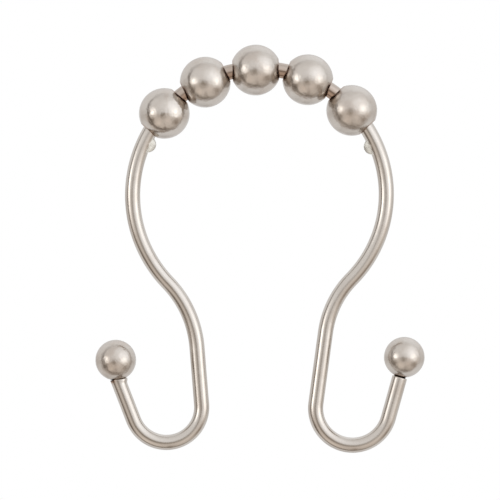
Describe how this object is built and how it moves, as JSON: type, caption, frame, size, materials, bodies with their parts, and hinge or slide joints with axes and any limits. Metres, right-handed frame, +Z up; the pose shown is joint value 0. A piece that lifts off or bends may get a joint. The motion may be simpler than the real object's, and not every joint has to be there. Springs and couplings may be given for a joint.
{
  "type": "curtain hook",
  "caption": "Double-sided shower curtain hook: a bent wire with roller beads on its arch, which hangs open at the bottom on a rod and ends in a ball-tipped hook on each side.",
  "frame": {"origin": "where the rod seats: on the hook's centre line, level with the underside of the middle bead", "axes": "+Z up as it hangs, +X across the hook to the right, +Y along the rod, away from the picture's viewer"},
  "size_m": [0.0649, 0.01, 0.0804],
  "materials": {
    "wire": "satin nickel plate on steel wire",
    "roller_beads": "satin nickel plate on steel",
    "end_balls": "satin nickel plate on steel"
  },
  "bodies": {
    "hook": {"wire_hook": "wire", "left_end_ball": "end_balls", "right_end_ball": "end_balls"},
    "left_outer_roller": {"left_outer_bead": "roller_beads"},
    "left_inner_roller": {"left_inner_bead": "roller_beads"},
    "middle_roller": {"middle_bead": "roller_beads"},
    "right_inner_roller": {"right_inner_bead": "roller_beads"},
    "right_outer_roller": {"right_outer_bead": "roller_beads"}
  },
  "joints": [
    {"name": "left_outer_bead_spin", "type": "hinge", "parent": "hook", "child": "left_outer_roller", "pos_m": [-0.01869, 0, -0.00354], "axis": [0.6537, 0, 0.7567], "continuous": true},
    {"name": "left_inner_bead_spin", "type": "hinge", "parent": "hook", "child": "left_inner_roller", "pos_m": [-0.01063, 0, 0.00261], "axis": [0.9027, 0, 0.4302], "continuous": true},
    {"name": "middle_bead_spin", "type": "hinge", "parent": "hook", "child": "middle_roller", "pos_m": [-0.00069, 0, 0.005], "axis": [0.9996, 0, 0.0279], "continuous": true},
    {"name": "right_inner_bead_spin", "type": "hinge", "parent": "hook", "child": "right_inner_roller", "pos_m": [0.00958, 0, 0.00309], "axis": [0.9227, 0, -0.3855], "continuous": true},
    {"name": "right_outer_bead_spin", "type": "hinge", "parent": "hook", "child": "right_outer_roller", "pos_m": [0.01823, 0, -0.00295], "axis": [0.6796, 0, -0.7336], "continuous": true}
  ]
}
